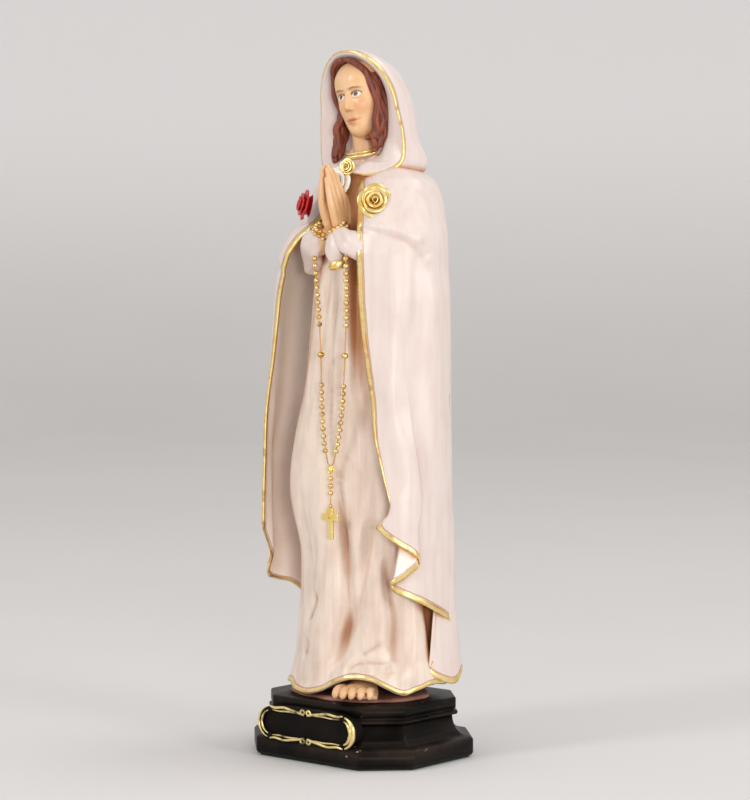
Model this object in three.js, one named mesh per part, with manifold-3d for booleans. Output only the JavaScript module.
// A standing madonna figure of cast resin on an octagonal plinth, with a loose bead rosary.
// Millimetres, +Z up, the figure faces -Y and its left side is +X.
// The origin is the centre of the plinth's footprint, at the underside of the felt pad.
import * as THREE from "three";
import { mergeVertices } from "three/addons/utils/BufferGeometryUtils.js";
import Module from "manifold-3d";

const wasm = await Module();
wasm.setup();

// ---- driving dimensions, mm ----
const clearance = 0.35; // gap left between neighbouring pieces
const feltThickness = 1;
const feltInset = 2.5;
const plinthWidth = 120; // along X
const plinthDepth = 98; // along Y
const plinthCorner = 22.5; // cut-off corner, along X and along Y
const plinthTop = 34; // height of the plinth's top face above the floor
const slabInset = 9.5; // how far the top slab stands in from the foot
const figureHeight = 366; // from the plinth's top face to the top of the hood
const groundThickness = 2;
const mantleWall = 3.2;
const hoodWall = 3;
const screwRadius = 2.5;
const screwHeadRadius = 4.6;
const screwHeadHeight = 3.4;
const neckLow = 338.5; // where the neck leaves the gown's collar
const neckBandHeight = 3.4;
const neckBandWall = 1.5;
const clothGap = 0.75; // between the gown and the mantle that lies on it
const screwGrip = 16; // thread length held in the figure
const washerRadius = 6.4;
const washerThickness = 1.2;
const counterboreDepth = 11;
const plaqueWidth = 70;
const plaqueHeight = 17;
const plaqueDepth = 7.4;
const plaqueFrameWidth = 2.6;
const plaqueFrameDepth = 1.5;
const roseRadius = 8.6; // the gold rose and the red rose
const whiteRoseRadius = 7;
const claspRoseRadius = 4;
const beadRadius = 1.6;
const beadPitch = 4.1;
const beadsPerDecade = 10;
const wireRadius = 0.35;
const wristBeadRadius = 1.5;
const crossHeight = 19;
const crossWidth = 12;
const crossBar = 4.4;
const crossThickness = 2;

// ---- derived levels ----
const plinthBottom = feltThickness + clearance;
const groundBottom = plinthTop + clearance;
const groundTop = groundBottom + groundThickness;
const gownBottom = groundTop + clearance;
const unit = figureHeight / 366; // the figure's tables are drawn for 366 mm
const level = (z) => plinthTop + (z - 34) * unit; // table height to model height

// ---- solids ----
const radians = THREE.MathUtils.degToRad;
const smooth = (x, low, high) => THREE.MathUtils.smoothstep(x, low, high);

// A closed three.js geometry as a manifold-3d solid, and back.
function solid(geometry) {
  const bare = geometry.index ? geometry.toNonIndexed() : geometry.clone();
  bare.deleteAttribute("normal");
  bare.deleteAttribute("uv");
  const merged = mergeVertices(bare, 1e-4);
  return new wasm.Manifold(
    new wasm.Mesh({
      numProp: 3,
      vertProperties: merged.attributes.position.array,
      triVerts: new Uint32Array(merged.index.array),
    }),
  );
}

function geometryOf(manifold) {
  const mesh = manifold.getMesh();
  return new THREE.BufferGeometry()
    .setAttribute("position", new THREE.BufferAttribute(mesh.vertProperties, 3))
    .setIndex(new THREE.BufferAttribute(mesh.triVerts, 1));
}

// The largest body of a solid that a cut may have left with crumbs.
function largest(manifold) {
  return manifold.decompose().reduce((a, b) => (a.volume() > b.volume() ? a : b));
}

// Closed rings of equal length, bottom to top and anticlockwise seen from above, joined and capped.
function loft(rings) {
  const n = rings[0].length;
  const points = rings.flat();
  const faces = [];
  for (let k = 0; k + 1 < rings.length; k++)
    for (let i = 0; i < n; i++) {
      const a = k * n + i;
      const b = k * n + ((i + 1) % n);
      faces.push(a, b, b + n, a, b + n, a + n);
    }
  const cap = (ring, base, flip) => {
    const flat = ring.map((p) => new THREE.Vector2(p.x, p.y));
    for (const [a, b, c] of THREE.ShapeUtils.triangulateShape(flat, []))
      faces.push(base + (flip ? c : a), base + b, base + (flip ? a : c));
  };
  cap(rings[0], 0, true);
  cap(rings[rings.length - 1], (rings.length - 1) * n, false);
  return new THREE.BufferGeometry().setFromPoints(points).setIndex(faces);
}

// A table of rows [height, value, value, ...] read at height z with a smooth curve between rows.
function read(table, z, column) {
  const last = table.length - 1;
  if (z <= table[0][0]) return table[0][column];
  if (z >= table[last][0]) return table[last][column];
  const i = table.findIndex((row) => row[0] > z);
  const [low, high] = [table[i - 1], table[i]];
  const t = (z - low[0]) / (high[0] - low[0]);
  return THREE.MathUtils.lerp(low[column], high[column], t);
}

// Radius of a rounded section in the direction angle, in degrees: 0 is the front, 90 the figure's left.
function sectionRadius(angle, width, front, back, power) {
  const across = Math.abs(Math.sin(radians(angle))) / width;
  const along = Math.cos(radians(angle));
  const deep = Math.abs(along) / (along > 0 ? front : back);
  return (across ** power + deep ** power) ** (-1 / power);
}

const polar = (angle, radius, z) =>
  new THREE.Vector3(radius * Math.sin(radians(angle)), -radius * Math.cos(radians(angle)), z);

// A tapered round bar through points, each with its own radius, made larger all round by grow.
function bar(points, radii, grow = 0, sides = 12) {
  const curve = new THREE.CatmullRomCurve3(points);
  const steps = (points.length - 1) * 3;
  const frames = curve.computeFrenetFrames(steps);
  const rings = [];
  for (let k = 0; k <= steps; k++) {
    const t = k / steps;
    const at = t * (radii.length - 1);
    const i = Math.min(Math.floor(at), radii.length - 2);
    const radius = THREE.MathUtils.lerp(radii[i], radii[i + 1], at - i) * unit + grow;
    const past = k === 0 ? -grow : k === steps ? grow : 0;
    const centre = curve.getPoint(t).addScaledVector(curve.getTangent(t), past);
    rings.push(
      Array.from({ length: sides }, (_, j) => {
        const turn = (2 * Math.PI * j) / sides;
        return centre
          .clone()
          .addScaledVector(frames.normals[k], radius * Math.cos(turn))
          .addScaledVector(frames.binormals[k], radius * Math.sin(turn));
      }),
    );
  }
  return barFromRings(rings);
}

// Rings in any direction, closed with a fan at each end.
function barFromRings(rings) {
  const n = rings[0].length;
  const middle = (ring) => ring.reduce((s, p) => s.add(p), new THREE.Vector3()).divideScalar(n);
  const last = (rings.length - 1) * n;
  const points = [...rings.flat(), middle(rings[0]), middle(rings[rings.length - 1])];
  const faces = [];
  for (let k = 0; k + 1 < rings.length; k++)
    for (let i = 0; i < n; i++) {
      const a = k * n + i;
      const b = k * n + ((i + 1) % n);
      faces.push(a, b, b + n, a, b + n, a + n);
    }
  for (let i = 0; i < n; i++) {
    const next = (i + 1) % n;
    faces.push(last + n, next, i, last + n + 1, last + i, last + next);
  }
  const made = solid(new THREE.BufferGeometry().setFromPoints(points).setIndex(faces));
  return made.volume() > 0 ? made : flipped(points, faces);
}

function flipped(points, faces) {
  const turned = [];
  for (let i = 0; i < faces.length; i += 3) turned.push(faces[i], faces[i + 2], faces[i + 1]);
  return solid(new THREE.BufferGeometry().setFromPoints(points).setIndex(turned));
}

function ball(centre, rx, ry, rz, across = 20, up = 12) {
  const made = new THREE.SphereGeometry(1, across, up);
  made.scale(rx, ry, rz).translate(centre.x, centre.y, centre.z);
  return solid(made);
}

function cylinder(radius, bottom, top, sides = 24) {
  const made = new THREE.CylinderGeometry(radius, radius, top - bottom, sides);
  made.rotateX(Math.PI / 2).translate(0, 0, (bottom + top) / 2);
  return solid(made);
}

const place = (x, y, z) => new THREE.Vector3(x * unit, y * unit, level(z));

// Everything on the figure's left (side 1) or right (side -1) of the plane x = side * from.
function halfSpace(side, from) {
  const made = new THREE.BoxGeometry(400, 400, 800 * unit);
  made.translate(side * (200 + from), 0, 0);
  return solid(made);
}

// ---- materials ----
function paint(color, roughness, metalness = 0) {
  return new THREE.MeshStandardMaterial({ color, roughness, metalness });
}
const creamPaint = paint(0xf1e2d8, 0.55);
const skinPaint = paint(0xe8c39a, 0.5);
const hairPaint = paint(0x7a3420, 0.5);
const goldPaint = paint(0xc8942e, 0.35, 0.8);
const redPaint = paint(0xb01218, 0.45);
const whitePaint = paint(0xf5efe6, 0.5);
const blackPaint = paint(0x17120f, 0.4);
const groundPaint = paint(0xb98f80, 0.6);
const brass = paint(0xd0a040, 0.25, 1);
const steel = paint(0x9a9da0, 0.35, 1);
const felt = paint(0x1d2b20, 0.95);

// ---- plinth ----
// One octagon of the plinth, drawn in by inset from the foot's outline.
function octagon(inset, z) {
  const w = plinthWidth / 2 - inset;
  const d = plinthDepth / 2 - inset;
  const c = plinthCorner - inset * (2 - Math.SQRT2);
  const corners = [
    [w - c, -d], [w, -d + c], [w, d - c], [w - c, d],
    [-w + c, d], [-w, d - c], [-w, -d + c], [-w + c, -d],
  ];
  return corners.map(([x, y]) => new THREE.Vector3(x, y, z));
}

// The plinth's side profile as [inset, height], from the foot up to the slab's top edge.
function plinthProfile() {
  const footTop = 10.6;
  const coveTop = plinthTop - 10;
  const coveInset = slabInset + 2;
  const rows = [
    [0.9, plinthBottom],
    [0, plinthBottom + 1.2],
    [0, footTop],
    [0.7, footTop + 0.9],
    [2.4, footTop + 1.1],
  ];
  const coveSteps = 8;
  for (let i = 1; i <= coveSteps; i++) {
    const turn = (Math.PI / 2) * (i / coveSteps);
    rows.push([
      2.4 + (coveInset - 2.4) * Math.sin(turn),
      footTop + 1.1 + (coveTop - footTop - 1.1) * (1 - Math.cos(turn)),
    ]);
  }
  rows.push(
    [slabInset - 0.4, coveTop + 0.5],
    [slabInset - 1, coveTop + 1.2],
    [slabInset - 1, coveTop + 2],
    [slabInset + 0.9, coveTop + 2.7],
    [slabInset + 0.9, coveTop + 3.3],
    [slabInset, coveTop + 3.9],
    [slabInset, plinthTop - 0.8],
    [slabInset + 0.8, plinthTop],
  );
  return rows;
}

const plaqueLow = 11.9;
const plaqueMiddle = plaqueLow + plaqueHeight / 2;
const plaqueFront = -plinthDepth / 2 + 0.2 + plaqueFrameDepth + clearance;

// A rounded slab standing in the XZ plane, with its front face at y and its thickness behind.
function standingSlab(width, height, front, depth, hole = 0) {
  const outline = (w, h) => {
    const r = h / 2;
    const shape = new THREE.Path();
    shape.moveTo(-w / 2 + r, -r);
    shape.lineTo(w / 2 - r, -r);
    shape.absarc(w / 2 - r, 0, r, -Math.PI / 2, Math.PI / 2, false);
    shape.lineTo(-w / 2 + r, r);
    shape.absarc(-w / 2 + r, 0, r, Math.PI / 2, 1.5 * Math.PI, false);
    return shape;
  };
  const shape = new THREE.Shape(outline(width, height).getPoints(8));
  if (hole) shape.holes.push(new THREE.Path(outline(width - 2 * hole, height - 2 * hole).getPoints(8)));
  const made = new THREE.ExtrudeGeometry(shape, { depth, bevelEnabled: false });
  made.rotateX(Math.PI / 2).translate(0, front + depth, plaqueMiddle);
  return solid(made);
}

function makePlinth() {
  const body = solid(loft(plinthProfile().map(([inset, z]) => octagon(inset, z))));
  const counterbore = cylinder(washerRadius + 1, plinthBottom - 5, plinthBottom + counterboreDepth);
  const hole = cylinder(screwRadius + clearance, plinthBottom - 5, plinthTop + 5);
  const seat = standingSlab(
    plaqueWidth + 2 * clearance, plaqueHeight + 2 * clearance, plaqueFront - 20, plaqueDepth + 20 + clearance,
  );
  return largest(body.subtract(counterbore).subtract(hole).subtract(seat));
}

function makeFelt() {
  return solid(loft([octagon(feltInset, 0), octagon(feltInset, feltThickness)]));
}

function makeScrew() {
  const headTop = plinthBottom + counterboreDepth - washerThickness - 2 * clearance;
  const tip = gownBottom + screwGrip;
  const profile = [
    [0, headTop - screwHeadHeight],
    [screwHeadRadius * 0.7, headTop - screwHeadHeight],
    [screwHeadRadius, headTop - screwHeadHeight * 0.6],
    [screwHeadRadius, headTop],
    [screwRadius, headTop],
    [screwRadius, tip - screwRadius],
    [0, tip],
  ].map(([r, z]) => new THREE.Vector2(r, z));
  return solid(new THREE.LatheGeometry(profile, 20).rotateX(Math.PI / 2));
}

function makeWasher() {
  const top = plinthBottom + counterboreDepth - clearance;
  return cylinder(washerRadius, top - washerThickness, top).subtract(
    cylinder(screwRadius + clearance, top - 10, top + 10),
  );
}

// ---- the figure's sections: [height, half width, front, back] ----
const gownTable = [
  [36, 45, 36.5, 33], [44, 42, 33.5, 32], [58, 38.5, 30.5, 30], [90, 36, 29, 28], [130, 35, 29, 27],
  [165, 34.5, 28, 27], [200, 34, 26, 26], [235, 32.5, 23.5, 24.5], [262, 31, 21, 23], [290, 29, 18.5, 22],
  [315, 27, 16.5, 20], [326, 21, 13.5, 17], [334, 12.5, 10.5, 13], [338, 10.5, 8, 12.5],
];
const mantleTable = [
  [46, 56, 35, 40], [87, 54, 35, 37.5], [150, 54, 35, 35], [198, 53, 35, 34], [232, 52, 34.5, 33],
  [259, 51, 34.5, 32], [285, 49, 34, 31.5], [296, 47.5, 31, 31], [303, 46.5, 26.5, 30.5], [312, 45.5, 22, 30],
  [320, 43.5, 20, 29], [327, 38, 18, 27], [331, 31, 16, 25],
];
// The mantle's two front edges: [height, angle on the figure's left, angle on its right].
const edgeTable = [
  [46, 112, 118], [75, 92, 100], [105, 76, 84], [130, 62, 62], [150, 57, 60], [198, 46, 60], [232, 39, 58],
  [259, 38, 55], [285, 36, 47], [300, 34, 40], [312, 26, 30], [322, 18, 20], [331, 12, 12],
];
const hoodTable = [
  [331.5, 34, 19, 31], [337, 32, 18, 33], [345, 30.5, 17.5, 34], [360, 28, 17.5, 32.5], [372, 26, 17, 30.5],
  [383, 22.5, 15.5, 26.5], [391, 16.5, 13, 20], [397, 9, 8.5, 11.5], [400, 2, 2, 3],
];

// The right knee stands forward under the gown.
function gownRadius(angle, z) {
  const plain = sectionRadius(angle, read(gownTable, z, 1), read(gownTable, z, 2), read(gownTable, z, 3), 2.2);
  const turn = angle > 180 ? angle - 360 : angle;
  const up = (z - 152) / (z > 152 ? 46 : 30);
  return plain + 8 * Math.exp(-(((turn + 52) / 32) ** 2) - up * up);
}

// The figure's right wing of the mantle stands out further than the left one.
function mantleRadius(angle, z) {
  const plain = sectionRadius(angle, read(mantleTable, z, 1), read(mantleTable, z, 2), read(mantleTable, z, 3), 2.5);
  const side = angle > 180 ? angle - 360 : angle;
  const wing = smooth(-side, 20, 60) * (1 - smooth(-side, 62, 100));
  const drop = smooth(-side, 45, 95) * (1 - smooth(-side, 120, 175)) * smooth(z, 284, 312); // the lower shoulder
  return plain + 7 * wing * smooth(300 - z, 30, 130) - 7 * drop;
}

function roundSolid(table, radius, low, high, grow = 0, steps = 16, turns = 32) {
  const rings = [];
  for (let k = 0; k <= steps; k++) {
    const z = THREE.MathUtils.lerp(low, high, k / steps);
    rings.push(
      Array.from({ length: turns }, (_, i) => {
        const angle = (360 * i) / turns;
        return polar(angle, radius(angle, z) * unit + grow, level(z) + (k ? (k === steps ? grow : 0) : -grow));
      }),
    );
  }
  return solid(loft(rings));
}

function makeGround() {
  const outline = (angle) => sectionRadius(angle, 44.5, 36.2, 33, 2.2);
  const low = 34 + (groundBottom - plinthTop) / unit;
  const high = 34 + (groundTop - plinthTop) / unit;
  return roundSolid(gownTable, outline, low, high, 0, 1, 32);
}

const gownLow = 34 + (gownBottom - plinthTop) / unit;
const gownSolid = (grow) => roundSolid(gownTable, gownRadius, gownLow, 338, grow, 15, 28);

// ---- hands, sleeves, foot, head ----
const handLine = [[0, -23.5, 296], [0, -25.5, 304], [0, -28, 314], [0, -31, 325], [0, -33, 333.5]];
const handHalf = [[5.4, 5], [7, 6], [6.6, 5.4], [5.4, 4.4], [2.2, 2.6]]; // half depth, thickness

// One of the two palms: side is 1 for the left hand and -1 for the right.
function handSolid(side, grow = 0) {
  const sides = 14;
  const rings = handLine.map(([, y, z], k) =>
    Array.from({ length: sides }, (_, i) => {
      const turn = (2 * Math.PI * i) / sides;
      const [deep, thick] = handHalf[k];
      const out = clearance / 2 + (thick / 2) * (1 + Math.cos(turn)) * unit + grow * Math.cos(turn);
      const end = k === 0 ? -grow : k === handLine.length - 1 ? grow : 0;
      return new THREE.Vector3(
        side * out, y * unit + (deep * unit + grow) * Math.sin(turn), level(z) + end,
      );
    }),
  );
  const palm = barFromRings(rings);
  const wrist = bar(
    [place(side * 3.2, -24, 301), place(side * 6, -24.8, 295), place(side * 13, -22, 287)],
    [4.2, 4.2, 4.2],
    grow,
  );
  return palm.add(wrist).intersect(halfSpace(side, clearance / 2 - grow));
}

function sleeveSolid(side, grow = 0) {
  return bar(
    [
      place(side * 9.5, -26, 289),
      place(side * 13.5, -22.5, 284),
      place(side * 26, -12.5, 272),
      place(side * 36, -6, 264),
    ],
    [8, 8.6, 9, 8],
    grow,
    16,
  ).intersect(halfSpace(side, clearance / 2 - grow));
}

// The left foot, turned out, with only its front half proud of the hem.
function footSolid(grow = 0) {
  const heel = place(17, -22, 40);
  const toe = place(26, -33.5, 40);
  const along = toe.clone().sub(heel).normalize();
  const angle = Math.atan2(along.y, along.x);
  const made = new THREE.SphereGeometry(1, 20, 12);
  made.scale(13 * unit + grow, 10.5 * unit + grow, 5.6 * unit + grow).rotateZ(angle);
  const middle = heel.clone().lerp(toe, 0.65);
  made.translate(middle.x, middle.y, groundTop + clearance);
  const floor = new THREE.BoxGeometry(200, 200, 50);
  floor.translate(0, 0, groundTop + clearance - grow - 25);
  return solid(made).subtract(solid(floor));
}

const headMiddle = place(0, 1.5, 372.5);
const neckBack = 3.5;
const neckRadius = 8;

function headSolid(grow = 0) {
  const skull = ball(headMiddle, 14 * unit + grow, 17 * unit + grow, 20.5 * unit + grow, 20, 14);
  const nose = ball(place(0, -15.5, 369), 2.4 * unit + grow, 2.6 * unit + grow, 5.5 * unit + grow, 10, 8);
  const neck = bar(
    [place(0, neckBack, neckLow), place(0, neckBack - 0.5, 348), place(0, neckBack - 0.5, 360)],
    [neckRadius, neckRadius - 0.6, neckRadius - 0.6],
    grow,
    16,
  );
  return skull.add(nose).add(neck);
}

// A cap over the skull and a lock down each side of the face.
function hairSolid(grow = 0) {
  const cap = ball(place(0, 4.5, 374), 16.4 * unit + grow, 17.6 * unit + grow, 21.6 * unit + grow, 20, 12);
  const face = ball(place(0, -16, 368.5), 11.8 * unit, 14 * unit, 21 * unit, 16, 10);
  const lock = (side, end) =>
    bar(
      [
        place(side * 13.2, -5, 378), place(side * 14.4, -3, 366), place(side * 13.4, -3.5, 354),
        place(side * 12.4, -6, 345), place(side * 11, -8.5, end),
      ],
      [2.6, 3.2, 3.4, 3.4, 2.2],
      grow,
    );
  return cap.subtract(face).add(lock(1, 342.5)).add(lock(-1, 338.5));
}

// ---- cloth ----
function edgeAngle(z, side) {
  return side > 0 ? read(edgeTable, z, 1) : read(edgeTable, z, 2);
}

// The mantle: a C-shaped wall that stands off the gown at its front edges and lies on it behind.
function makeMantle() {
  const steps = 20;
  const turns = 22;
  const rings = [];
  for (let k = 0; k <= steps; k++) {
    const z = THREE.MathUtils.lerp(46, 331, k / steps);
    const from = edgeAngle(z, 1);
    const to = 360 - edgeAngle(z, -1);
    const outer = [];
    const inner = [];
    for (let i = 0; i <= turns; i++) {
      const angle = THREE.MathUtils.lerp(from, to, i / turns);
      const out = mantleRadius(angle, z) * unit;
      const fromEdge = Math.min(angle - from, to - angle);
      const onGown = gownRadius(angle, z) * unit + clothGap;
      const free = out - mantleWall;
      const lies = smooth(fromEdge, 30, 75);
      outer.push(polar(angle, out, level(z)));
      inner.push(polar(angle, Math.min(free, THREE.MathUtils.lerp(free, onGown, lies)), level(z)));
    }
    rings.push([...outer, ...inner.reverse()]);
  }
  return solid(loft(rings));
}

// The hood: a bell over the head, cut open at the front.
function makeHood() {
  const hoodRadius = (angle, z) =>
    sectionRadius(angle, read(hoodTable, z, 1), read(hoodTable, z, 2), read(hoodTable, z, 3), 2.1);
  const shell = roundSolid(hoodTable, hoodRadius, 331.5, 400, 0, 14, 28);
  const cavity = [];
  const steps = 10;
  for (let k = 0; k <= steps; k++) {
    const z = THREE.MathUtils.lerp(336.5, 395.5, k / steps);
    const half = (read(hoodTable, z, 1) - hoodWall - 2.5 * smooth(360 - z, 0, 25)) * unit;
    const deep = (read(hoodTable, z, 3) - hoodWall) * unit * 0.8;
    const ring = [new THREE.Vector3(-half, -60 * unit, level(z)), new THREE.Vector3(half, -60 * unit, level(z))];
    for (let i = 0; i <= 12; i++) {
      const turn = (Math.PI * i) / 12;
      ring.push(new THREE.Vector3(half * Math.cos(turn), deep * Math.sin(turn), level(z)));
    }
    cavity.push(ring);
  }
  return shell.subtract(solid(loft(cavity)));
}

// ---- roses ----
// A rose is a domed disc let a little way into the cloth, facing along its normal.
function roseSolid({ centre, normal, radius }, grow = 0) {
  const r = radius * unit + grow;
  const low = -grow;
  const high = radius * unit * 0.62 + grow;
  const profile = [
    [0, low], [r * 0.7, low], [r, low + (high - low) * 0.35], [r * 0.92, low + (high - low) * 0.7],
    [r * 0.5, high], [0, high * 1.06],
  ].map(([across, up]) => new THREE.Vector2(across, up));
  const made = new THREE.LatheGeometry(profile, 16);
  made.applyQuaternion(new THREE.Quaternion().setFromUnitVectors(new THREE.Vector3(0, 1, 0), normal));
  made.translate(centre.x, centre.y, centre.z);
  return solid(made);
}

const outward = (x, y, z) => new THREE.Vector3(x, y, z).normalize();

// ---- rosary ----
// It hangs clear of the most forward part of the gown.
const rosaryLength = 116.5; // from the wrists down to the centre ring
const hangZ = level(284.5);
const centreZ = hangZ - rosaryLength;
function forwardMost(low, high) {
  let most = 0;
  for (let z = low; z <= high; z += 4) most = Math.max(most, gownRadius(0, 34 + (z - plinthTop) / unit) * unit);
  return most;
}
const rosaryY = -Math.max(forwardMost(centreZ - 60, hangZ) + beadRadius + 0.9, 34.4 * unit);

// The two strands seen from the front, as [x, share of the way down], chosen by eye.
const strandPoints = {
  left: [[17, 0], [17.6, 0.22], [16.4, 0.5], [14, 0.76], [10.6, 0.92], [6.9, 0.995]],
  right: [[-6.2, 0], [-3.8, 0.2], [-1.4, 0.45], [-0.6, 0.72], [1.4, 0.92], [4.9, 0.995]],
};

function strandCurve(name) {
  return new THREE.CatmullRomCurve3(
    strandPoints[name].map(([x, down]) => new THREE.Vector3(x * unit, rosaryY, hangZ - down * rosaryLength)),
  );
}

function bead(centre, radius) {
  const made = new THREE.SphereGeometry(radius, 7, 5);
  made.translate(centre.x, centre.y, centre.z);
  return solid(made);
}

// Beads on their own piece of wire, along a curve in the XZ plane, from one arc length to another.
function beadRun(curve, from, count, radius, before, after) {
  const total = curve.getLength();
  const low = from - before;
  const high = from + (count - 1) * beadPitch + after;
  const steps = Math.max(1, Math.round((high - low) / 8));
  const sides = 5;
  const forward = new THREE.Vector3(0, -1, 0);
  const rings = Array.from({ length: steps + 1 }, (_, k) => {
    const at = THREE.MathUtils.clamp(THREE.MathUtils.lerp(low, high, k / steps) / total, 0, 1);
    const centre = curve.getPointAt(at);
    const across = curve.getTangentAt(at).cross(forward);
    return Array.from({ length: sides }, (_, i) => {
      const turn = (2 * Math.PI * i) / sides;
      return centre
        .clone()
        .addScaledVector(forward, wireRadius * Math.cos(turn))
        .addScaledVector(across, wireRadius * Math.sin(turn));
    });
  });
  let run = barFromRings(rings);
  for (let i = 0; i < count; i++) run = run.add(bead(curve.getPointAt((from + i * beadPitch) / total), radius));
  return run;
}

const decadeLength = (beadsPerDecade - 1) * beadPitch;

function strandPieces(name, firstDecade, lead) {
  const curve = strandCurve(name);
  const total = curve.getLength();
  const second = total - 7 - decadeLength;
  const middle = (lead + decadeLength + second) / 2;
  const half = (middle - (lead + decadeLength)) / 2;
  return {
    [`rosary_decade_${firstDecade}`]: beadRun(curve, lead, beadsPerDecade, beadRadius, lead, half - clearance / 2),
    [`rosary_single_bead_${name}`]: beadRun(curve, middle, 1, beadRadius * 1.15, half - clearance / 2, half - clearance / 2),
    [`rosary_decade_${firstDecade + 1}`]: beadRun(
      curve, second, beadsPerDecade, beadRadius, half - clearance / 2, total - second - decadeLength,
    ),
  };
}

// A ring about the direction that turn gives, or about Y.
function ring(centre, radius, wire, turn) {
  const made = new THREE.TorusGeometry(radius, wire, 6, 14);
  if (turn) made.applyQuaternion(turn);
  else made.rotateX(Math.PI / 2);
  made.translate(centre.x, centre.y, centre.z);
  return solid(made);
}

const centreRingRadius = 1.9;
const centrePoint = new THREE.Vector3(5.9 * unit, rosaryY, centreZ - centreRingRadius - 1.6);
const dropTop = centrePoint.z - centreRingRadius - wireRadius - clearance;
const dropLength = 3 * beadPitch + 5;
const crossTop = dropTop - dropLength - clearance;

function makeDrop() {
  const line = new THREE.LineCurve3(
    new THREE.Vector3(centrePoint.x, rosaryY, dropTop),
    new THREE.Vector3(centrePoint.x, rosaryY, dropTop - dropLength),
  );
  return beadRun(line, beadRadius + 0.9, 3, beadRadius, beadRadius + 0.9, dropLength - 2 * beadPitch - beadRadius - 0.9);
}

function makeCrucifix() {
  const upright = new THREE.BoxGeometry(crossBar, crossThickness, crossHeight);
  upright.translate(centrePoint.x, rosaryY, crossTop - crossHeight / 2);
  const arms = new THREE.BoxGeometry(crossWidth, crossThickness, crossBar);
  arms.translate(centrePoint.x, rosaryY, crossTop - crossHeight * 0.32);
  const stud = new THREE.SphereGeometry(crossBar * 0.24, 8, 6);
  stud.translate(centrePoint.x, rosaryY - crossThickness / 2, crossTop - crossHeight * 0.32);
  return solid(upright).add(solid(arms)).add(solid(stud));
}

// Beads once round a wrist.
function makeWrap(side, grow = 0) {
  const along = outward(side * 0.62, 0.1, -0.78);
  const turn = new THREE.Quaternion().setFromUnitVectors(new THREE.Vector3(0, 0, 1), along);
  return ring(place(side * 5.6, -25, 296.5), 6.6 * unit, wristBeadRadius * 0.8 + grow, turn).intersect(
    halfSpace(side, clearance / 2 - grow),
  );
}

// A thin gold collar round the foot of the neck.
function makeNeckBand() {
  const inner = (neckRadius + 0.3) * unit + clearance;
  const low = level(neckLow) + clearance;
  const high = low + neckBandHeight;
  const move = [0, neckBack * unit, 0];
  const outside = cylinder(inner + neckBandWall, low, high, 20).translate(move);
  return outside.subtract(cylinder(inner, low - 1, high + 1, 20).translate(move));
}

// ---- roses ----
const onMantle = (angle, z) => polar(angle, mantleRadius(angle, z) * unit - 1, level(z));
const onGown = (angle, z) => polar(angle, gownRadius(angle, z) * unit + 1, level(z));
const roses = {
  gold_rose: { centre: onMantle(52, 315), normal: outward(0.62, -0.78, 0.2), radius: roseRadius },
  red_rose: { centre: onMantle(-52, 312), normal: outward(-0.62, -0.78, 0.2), radius: roseRadius },
  white_rose: { centre: onGown(6, 319.5), normal: outward(0.05, -1, 0.25), radius: whiteRoseRadius },
  clasp_rose: { centre: place(1, -17.4, 333.5), normal: outward(0.05, -1, 0.2), radius: claspRoseRadius },
};
const rosePaint = { gold_rose: goldPaint, red_rose: redPaint, white_rose: whitePaint, clasp_rose: goldPaint };

// ---- assembly ----
// Each piece is cut back by the space of the pieces that it meets, so that neighbours keep their clearance.
const group = new THREE.Group();

function add(name, made, material, ...spaces) {
  const cut = spaces.reduce((left, space) => left.subtract(space), made);
  const mesh = new THREE.Mesh(geometryOf(largest(cut)), material);
  mesh.name = name;
  group.add(mesh);
}

const bothSides = (make) => make(1, clearance).add(make(-1, clearance));
const handSpace = bothSides(handSolid);
const sleeveSpace = bothSides(sleeveSolid);
const wrapSpace = bothSides(makeWrap);
const headSpace = headSolid(clearance);
const hairSpace = hairSolid(clearance);
const gownSpace = gownSolid(clearance);
const screwHole = cylinder(screwRadius + clearance, plinthTop - 5, gownBottom + screwGrip + 2);
const roseSpace = Object.values(roses).reduce(
  (all, rose) => all.add(roseSolid(rose, clearance)), roseSolid(roses.clasp_rose, clearance),
);

add("felt_pad", makeFelt(), felt);
add("plinth", makePlinth(), blackPaint);
add("plaque_panel", standingSlab(plaqueWidth, plaqueHeight, plaqueFront, plaqueDepth), blackPaint);
const frameFront = plaqueFront - clearance - plaqueFrameDepth;
add(
  "plaque_frame",
  standingSlab(plaqueWidth, plaqueHeight, frameFront, plaqueFrameDepth, plaqueFrameWidth),
  goldPaint,
);
add("fixing_screw", makeScrew(), steel);
add("fixing_washer", makeWasher(), steel);
add("ground_block", makeGround(), groundPaint, screwHole);
add("left_foot", footSolid(), skinPaint);
add("gown", gownSolid(0), creamPaint, footSolid(clearance), screwHole, sleeveSpace, handSpace, wrapSpace, headSpace,
  roseSpace);
add("mantle", makeMantle(), creamPaint, gownSpace, sleeveSpace, handSpace, wrapSpace, roseSpace);
add("hood", makeHood(), creamPaint, hairSpace, headSpace, gownSpace, roseSpace);
add("head", headSolid(), skinPaint);
add("hair", hairSolid(), hairPaint, headSpace, gownSpace);
add("neck_band", makeNeckBand(), goldPaint, headSpace, hairSpace);
for (const [name, side] of [["left", 1], ["right", -1]]) {
  add(`${name}_hand`, handSolid(side), skinPaint);
  add(`${name}_sleeve`, sleeveSolid(side), creamPaint, handSpace, wrapSpace);
  add(`rosary_wrap_${name}`, makeWrap(side), brass, handSpace);
}
for (const [name, rose] of Object.entries(roses)) add(name, roseSolid(rose), rosePaint[name]);
for (const [name, first, lead] of [["left", 1, 5], ["right", 3, 13]])
  for (const [piece, made] of Object.entries(strandPieces(name, first, lead))) add(piece, made, brass);
add("rosary_centre", ring(centrePoint, centreRingRadius, wireRadius), brass);
add("rosary_drop", makeDrop(), brass);
add("rosary_crucifix", makeCrucifix(), goldPaint);

export default group;
